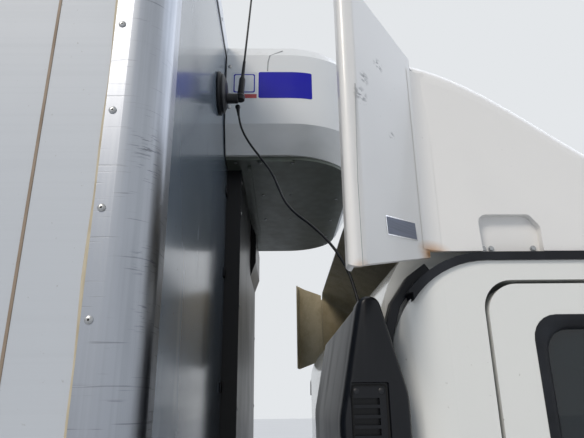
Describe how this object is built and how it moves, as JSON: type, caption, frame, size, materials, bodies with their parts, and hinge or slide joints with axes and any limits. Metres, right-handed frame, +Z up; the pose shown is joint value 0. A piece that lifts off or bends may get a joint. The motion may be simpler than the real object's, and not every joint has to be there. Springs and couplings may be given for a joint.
{
  "type": "refrigerated truck",
  "caption": "Light cab-over truck with an insulated box, a nose-mounted cooling unit, a roof fairing, a tilting cab, hinged doors, steered front wheels and twin rear wheels.",
  "frame": {"origin": "on the road, under the middle of the truck's length and width", "axes": "+X forwards, +Y to the truck's left, +Z up"},
  "size_m": [7, 2.4692, 3.308],
  "materials": {
    "chassis_paint": "satin",
    "axle_paint": "matt",
    "engine_paint": "matt",
    "exhaust_steel": "matt",
    "tank_paint": "satin",
    "bumper_paint": "gloss",
    "guard_plastic": "matt",
    "rail_aluminium": "satin",
    "lamp_red": "gloss",
    "rim_paint": "satin",
    "tyre_rubber": "matt",
    "panel_laminate": "gloss",
    "front_laminate": "gloss",
    "floor_frame": "satin",
    "post_aluminium": "satin",
    "portal_steel": "brushed",
    "unit_laminate": "gloss",
    "unit_steel": "satin",
    "black_plastic": "matt",
    "antenna_black": "satin",
    "cable_black": "matt",
    "cab_paint": "gloss",
    "cab_floor_paint": "satin",
    "lamp_clear": "gloss",
    "window_glass": "gloss",
    "seat_fabric": "woven",
    "dash_plastic": "matt",
    "fairing_laminate": "gloss",
    "seal_rubber": "satin"
  },
  "bodies": {
    "truck": {"chassis_frame": "chassis_paint", "front_axle": "axle_paint", "rear_axle": "axle_paint", "engine_block": "engine_paint", "exhaust": "exhaust_steel", "fuel_tank": "tank_paint", "battery_box": "chassis_paint", "front_bumper": "bumper_paint", "rear_mudguards": "guard_plastic", "guard_rails": "rail_aluminium", "tail_lamps": "lamp_red", "box_floor": "floor_frame", "box_side_walls": "panel_laminate", "box_front_wall": "front_laminate", "box_roof": "panel_laminate", "front_corner_posts": "post_aluminium", "box_edge_rails": "post_aluminium", "rear_portal": "portal_steel", "unit_housing": "unit_laminate", "unit_base": "unit_steel", "unit_grille": "black_plastic", "unit_motors": "unit_steel", "wall_guard": "black_plastic", "antenna": "antenna_black", "antenna_cable": "cable_black", "air_intake": "black_plastic"},
    "cab": {"cab_shell": "cab_paint", "cab_floor": "cab_floor_paint", "front_panel": "cab_paint", "headlamps": "lamp_clear", "cab_glazing": "window_glass", "cab_steps": "black_plastic", "mirrors": "black_plastic", "seats": "seat_fabric", "dashboard": "dash_plastic", "steering_wheel": "dash_plastic", "fairing_shell": "fairing_laminate", "fairing_wings": "fairing_laminate", "roof_seal": "seal_rubber"},
    "cab_door_left": {"cab_door_left": "cab_paint", "door_glass_left": "window_glass"},
    "rear_door_left": {"rear_door_left": "panel_laminate", "rear_door_gear_left": "portal_steel"},
    "fan_left": {"unit_fan_left": "black_plastic"},
    "knuckle_left": {"knuckle_left": "axle_paint"},
    "wheel_front_left": {"front_rim_left": "rim_paint", "front_tyre_left": "tyre_rubber"},
    "wheel_rear_left": {"rear_rims_left": "rim_paint", "rear_tyres_left": "tyre_rubber"},
    "cab_door_right": {"cab_door_right": "cab_paint", "door_glass_right": "window_glass"},
    "rear_door_right": {"rear_door_right": "panel_laminate", "rear_door_gear_right": "portal_steel"},
    "fan_right": {"unit_fan_right": "black_plastic"},
    "knuckle_right": {"knuckle_right": "axle_paint"},
    "wheel_front_right": {"front_rim_right": "rim_paint", "front_tyre_right": "tyre_rubber"},
    "wheel_rear_right": {"rear_rims_right": "rim_paint", "rear_tyres_right": "tyre_rubber"},
    "track_rod": {"track_rod": "axle_paint"}
  },
  "joints": [
    {"name": "cab_tilt", "type": "hinge", "parent": "truck", "child": "cab", "pos_m": [3.44, 0, 0.68], "axis": [0, 1, 0], "range_deg": [0, 45]},
    {"name": "cab_door_left_hinge", "type": "hinge", "parent": "cab", "child": "cab_door_left", "pos_m": [3.05725, 1.003, 1.5], "axis": [0, 0, -1], "range_deg": [0, 70]},
    {"name": "rear_door_left_hinge", "type": "hinge", "parent": "truck", "child": "rear_door_left", "pos_m": [-3.482, 1.175, 1.9], "axis": [0, 0, -1], "range_deg": [0, 270]},
    {"name": "fan_left_spin", "type": "hinge", "parent": "truck", "child": "fan_left", "pos_m": [1.778, 0.205, 2.756], "axis": [1, 0, 0], "continuous": true},
    {"name": "steer_left", "type": "hinge", "parent": "truck", "child": "knuckle_left", "pos_m": [2.39, 0.68, 0.4025], "axis": [0, 0, 1], "range_deg": [-35, 35]},
    {"name": "wheel_front_left_spin", "type": "hinge", "parent": "knuckle_left", "child": "wheel_front_left", "pos_m": [2.39, 0.825, 0.4025], "axis": [0, 1, 0], "continuous": true},
    {"name": "wheel_rear_left_spin", "type": "hinge", "parent": "truck", "child": "wheel_rear_left", "pos_m": [-1.345, 0.7475, 0.4025], "axis": [0, 1, 0], "continuous": true},
    {"name": "cab_door_right_hinge", "type": "hinge", "parent": "cab", "child": "cab_door_right", "pos_m": [3.05725, -1.003, 1.5], "axis": [0, 0, 1], "range_deg": [0, 70]},
    {"name": "rear_door_right_hinge", "type": "hinge", "parent": "truck", "child": "rear_door_right", "pos_m": [-3.482, -1.175, 1.9], "axis": [0, 0, 1], "range_deg": [0, 270]},
    {"name": "fan_right_spin", "type": "hinge", "parent": "truck", "child": "fan_right", "pos_m": [1.778, -0.205, 2.756], "axis": [1, 0, 0], "continuous": true},
    {"name": "steer_right", "type": "hinge", "parent": "truck", "child": "knuckle_right", "pos_m": [2.39, -0.68, 0.4025], "axis": [0, 0, 1], "range_deg": [-35, 35]},
    {"name": "wheel_front_right_spin", "type": "hinge", "parent": "knuckle_right", "child": "wheel_front_right", "pos_m": [2.39, -0.825, 0.4025], "axis": [0, 1, 0], "continuous": true},
    {"name": "wheel_rear_right_spin", "type": "hinge", "parent": "truck", "child": "wheel_rear_right", "pos_m": [-1.345, -0.7475, 0.4025], "axis": [0, 1, 0], "continuous": true},
    {"name": "track_rod_swing", "type": "hinge", "parent": "knuckle_left", "child": "track_rod", "pos_m": [2.22, 0.68, 0.32], "axis": [0, 0, 1], "range_deg": [-35, 35]}
  ],
  "couplings": [
    {"joint": "steer_right", "follows": "steer_left", "ratio": 1},
    {"joint": "track_rod_swing", "follows": "steer_left", "ratio": -1}
  ]
}
